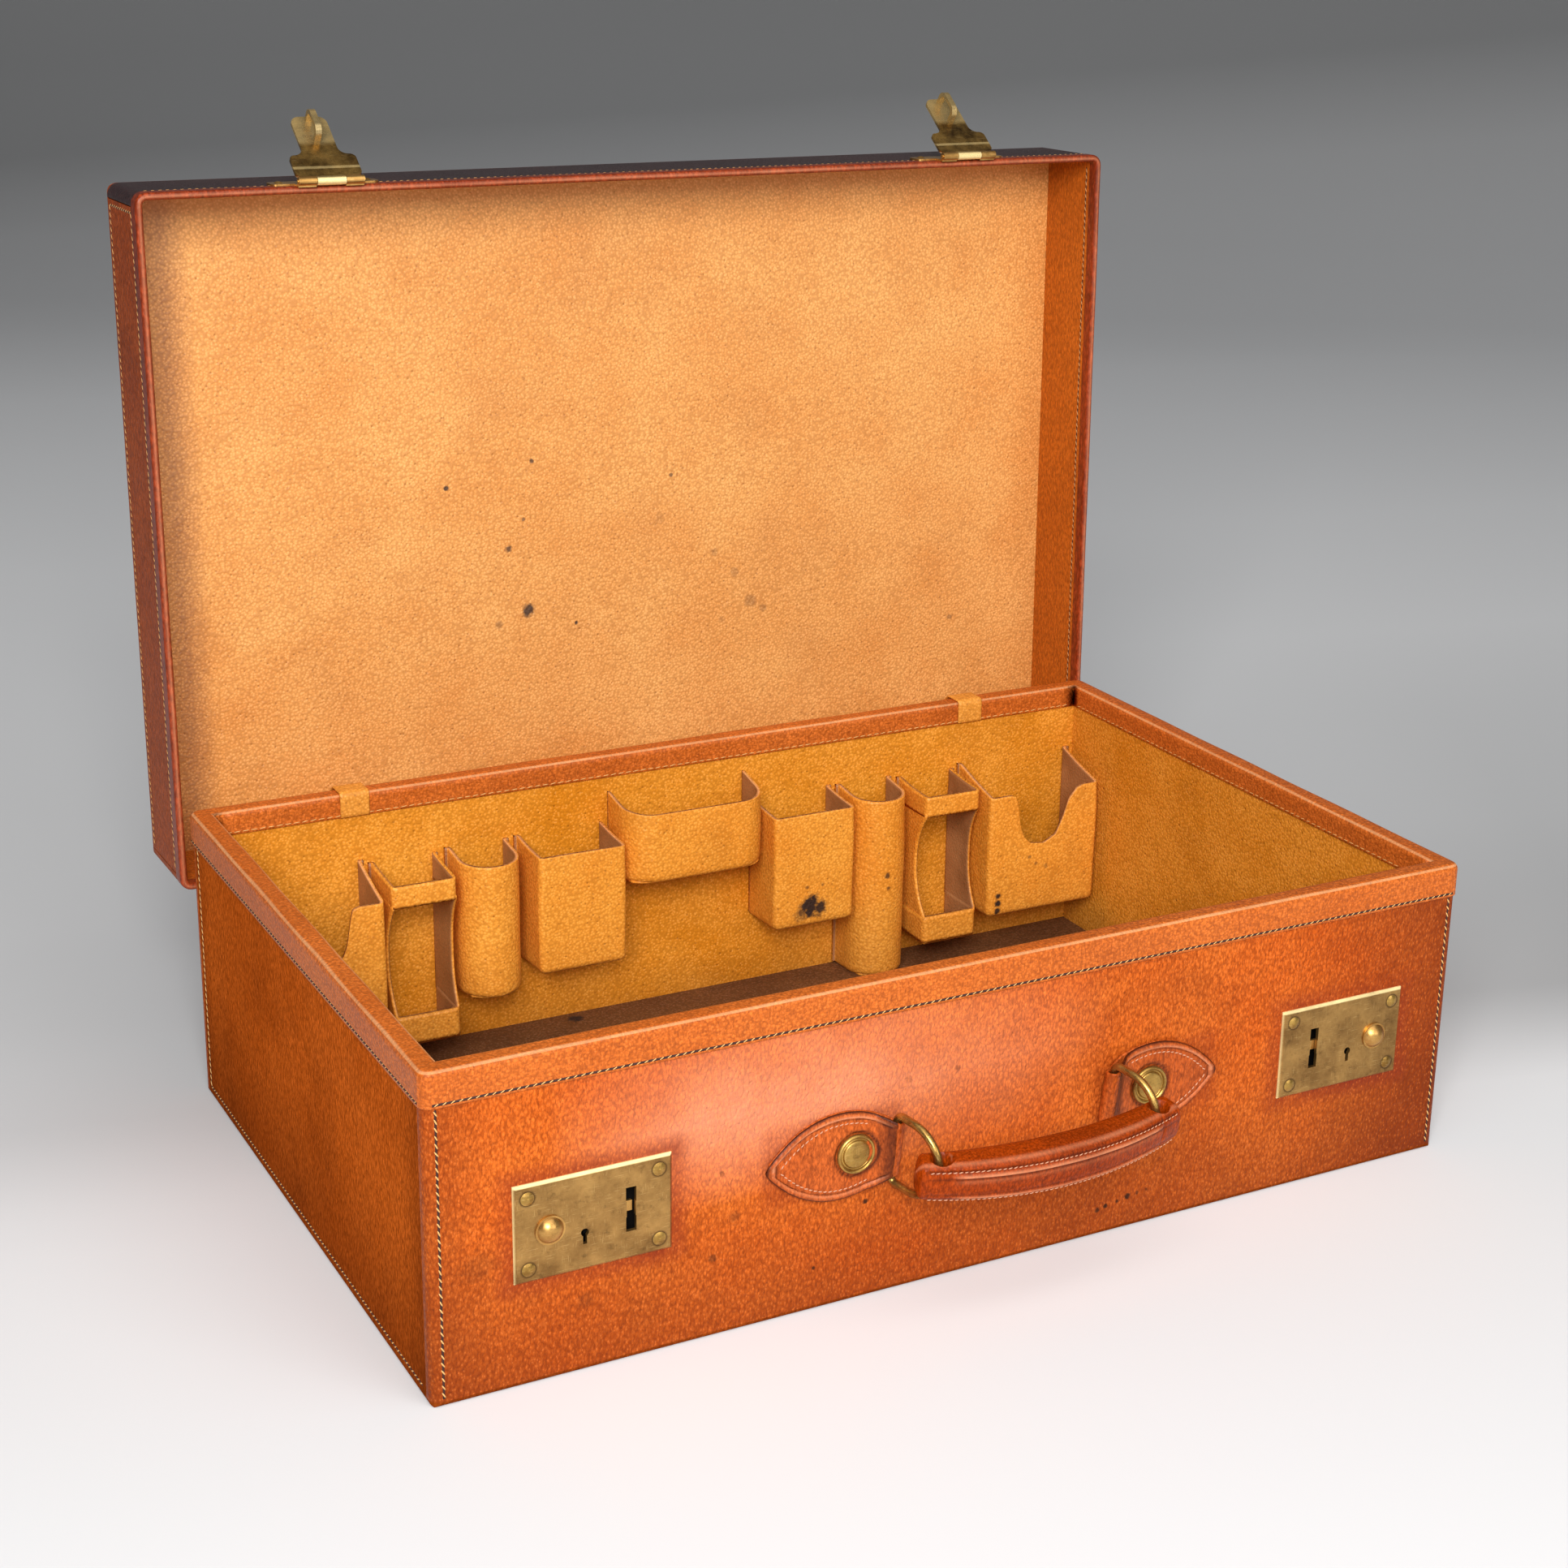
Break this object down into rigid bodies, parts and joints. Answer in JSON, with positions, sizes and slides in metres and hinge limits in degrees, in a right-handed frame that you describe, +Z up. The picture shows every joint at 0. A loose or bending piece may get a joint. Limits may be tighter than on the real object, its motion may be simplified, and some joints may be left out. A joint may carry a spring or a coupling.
{
  "type": "leather suitcase",
  "caption": "Leather-covered suitcase standing open, with hinged lid, hasps and sprung locks, a swinging handle on rings and a row of moulded pockets inside.",
  "frame": {"origin": "centre of the base's underside", "axes": "+X along the case from left to right, -Y out of the front with the locks, +Z up"},
  "size_m": [0.5708, 0.4749, 0.5165],
  "materials": {
    "saddle_leather": "aged grained orange-brown leather, semi-gloss",
    "tan_lining_leather": "pale tan leather with a fine pore pattern, satin",
    "aged_brass": "scratched, dulled brass",
    "pine_board": "plain sawn board, hidden",
    "lock_steel": "plain steel, hidden",
    "rope_core": "plain cord core, hidden"
  },
  "bodies": {
    "base": {"base_front": "saddle_leather", "base_back": "saddle_leather", "base_left": "saddle_leather", "base_right": "saddle_leather", "base_bottom": "saddle_leather", "carcass_front": "pine_board", "carcass_back": "pine_board", "carcass_left": "pine_board", "carcass_right": "pine_board", "carcass_floor": "pine_board", "rim_binding": "saddle_leather", "lining_front": "tan_lining_leather", "lining_back": "tan_lining_leather", "lining_left": "tan_lining_leather", "lining_right": "tan_lining_leather", "lining_floor": "tan_lining_leather", "pocket_large_left": "tan_lining_leather", "pocket_bottle_left": "tan_lining_leather", "pocket_tube_left": "tan_lining_leather", "pocket_box_left": "tan_lining_leather", "pocket_tray": "tan_lining_leather", "pocket_box_right": "tan_lining_leather", "pocket_tube_right": "tan_lining_leather", "pocket_bottle_right": "tan_lining_leather", "pocket_large_right": "tan_lining_leather", "stay_left": "tan_lining_leather", "stay_right": "tan_lining_leather", "hinge_strip": "saddle_leather", "lock_plate_left": "aged_brass", "lock_plate_right": "aged_brass", "lock_case_left": "lock_steel", "lock_case_right": "lock_steel", "lock_nails": "aged_brass", "lock_spring_left": "lock_steel", "lock_spring_right": "lock_steel", "tab_left": "saddle_leather", "tab_right": "saddle_leather", "tab_studs": "aged_brass"},
    "lid": {"lid_panel": "saddle_leather", "lid_front": "saddle_leather", "lid_back": "saddle_leather", "lid_left": "saddle_leather", "lid_right": "saddle_leather", "lid_board": "pine_board", "lid_facings": "saddle_leather", "lid_lining": "tan_lining_leather", "lid_welt": "saddle_leather", "hasp_plates": "aged_brass", "hasp_rivets": "aged_brass", "hasp_pins": "aged_brass"},
    "hasp_left": {"hasp_left": "aged_brass"},
    "hasp_right": {"hasp_right": "aged_brass"},
    "bolt_left": {"lock_bolt_left": "aged_brass"},
    "bolt_right": {"lock_bolt_right": "aged_brass"},
    "cam_left": {"key_cam_left": "lock_steel"},
    "cam_right": {"key_cam_right": "lock_steel"},
    "ring_left": {"ring_left": "aged_brass"},
    "ring_right": {"ring_right": "aged_brass"},
    "handle": {"handle_leather": "saddle_leather", "handle_core": "rope_core"}
  },
  "joints": [
    {"name": "lid_hinge", "type": "hinge", "parent": "base", "child": "lid", "pos_m": [0, 0.1819, 0.114], "axis": [1, 0, 0], "range_deg": [0, 91], "deforming": ["hinge_strip", "stay_left", "stay_right"]},
    {"name": "hasp_left_hinge", "type": "hinge", "parent": "lid", "child": "hasp_left", "pos_m": [-0.1859, 0.18635, 0.48368], "axis": [1, 0, 0], "range_deg": [0, 151]},
    {"name": "hasp_right_hinge", "type": "hinge", "parent": "lid", "child": "hasp_right", "pos_m": [0.1919, 0.18635, 0.48368], "axis": [1, 0, 0], "range_deg": [0, 151]},
    {"name": "bolt_left_slide", "type": "slide", "parent": "base", "child": "bolt_left", "axis": [1, 0, 0], "range_m": [-0.004, 0], "stiffness_N_per_m": 300, "springref_m": 0.004, "deforming": ["lock_spring_left"]},
    {"name": "bolt_right_slide", "type": "slide", "parent": "base", "child": "bolt_right", "axis": [-1, 0, 0], "range_m": [-0.004, 0], "stiffness_N_per_m": 300, "springref_m": 0.004, "deforming": ["lock_spring_right"]},
    {"name": "cam_left_turn", "type": "hinge", "parent": "base", "child": "cam_left", "pos_m": [-0.2081, -0.1725, 0.0701], "axis": [0, 1, 0], "range_deg": [0, 90]},
    {"name": "cam_right_turn", "type": "hinge", "parent": "base", "child": "cam_right", "pos_m": [0.2141, -0.1725, 0.0701], "axis": [0, -1, 0], "range_deg": [0, 90]},
    {"name": "ring_left_swing", "type": "hinge", "parent": "base", "child": "ring_left", "pos_m": [-0.0545, -0.1823, 0.078], "axis": [0, -0.1736, 0.9848], "range_deg": [-74, 36]},
    {"name": "ring_right_swing", "type": "hinge", "parent": "base", "child": "ring_right", "pos_m": [0.0655, -0.1823, 0.078], "axis": [0, -0.1736, 0.9848], "range_deg": [-74, 36]},
    {"name": "handle_swing", "type": "hinge", "parent": "ring_left", "child": "handle", "pos_m": [-0.04538, -0.20837, 0.0734], "axis": [0, -0.1736, 0.9848], "range_deg": [-36, 74]}
  ],
  "couplings": [
    {"joint": "ring_right_swing", "follows": "ring_left_swing", "ratio": 1},
    {"joint": "handle_swing", "follows": "ring_left_swing", "ratio": -1}
  ]
}
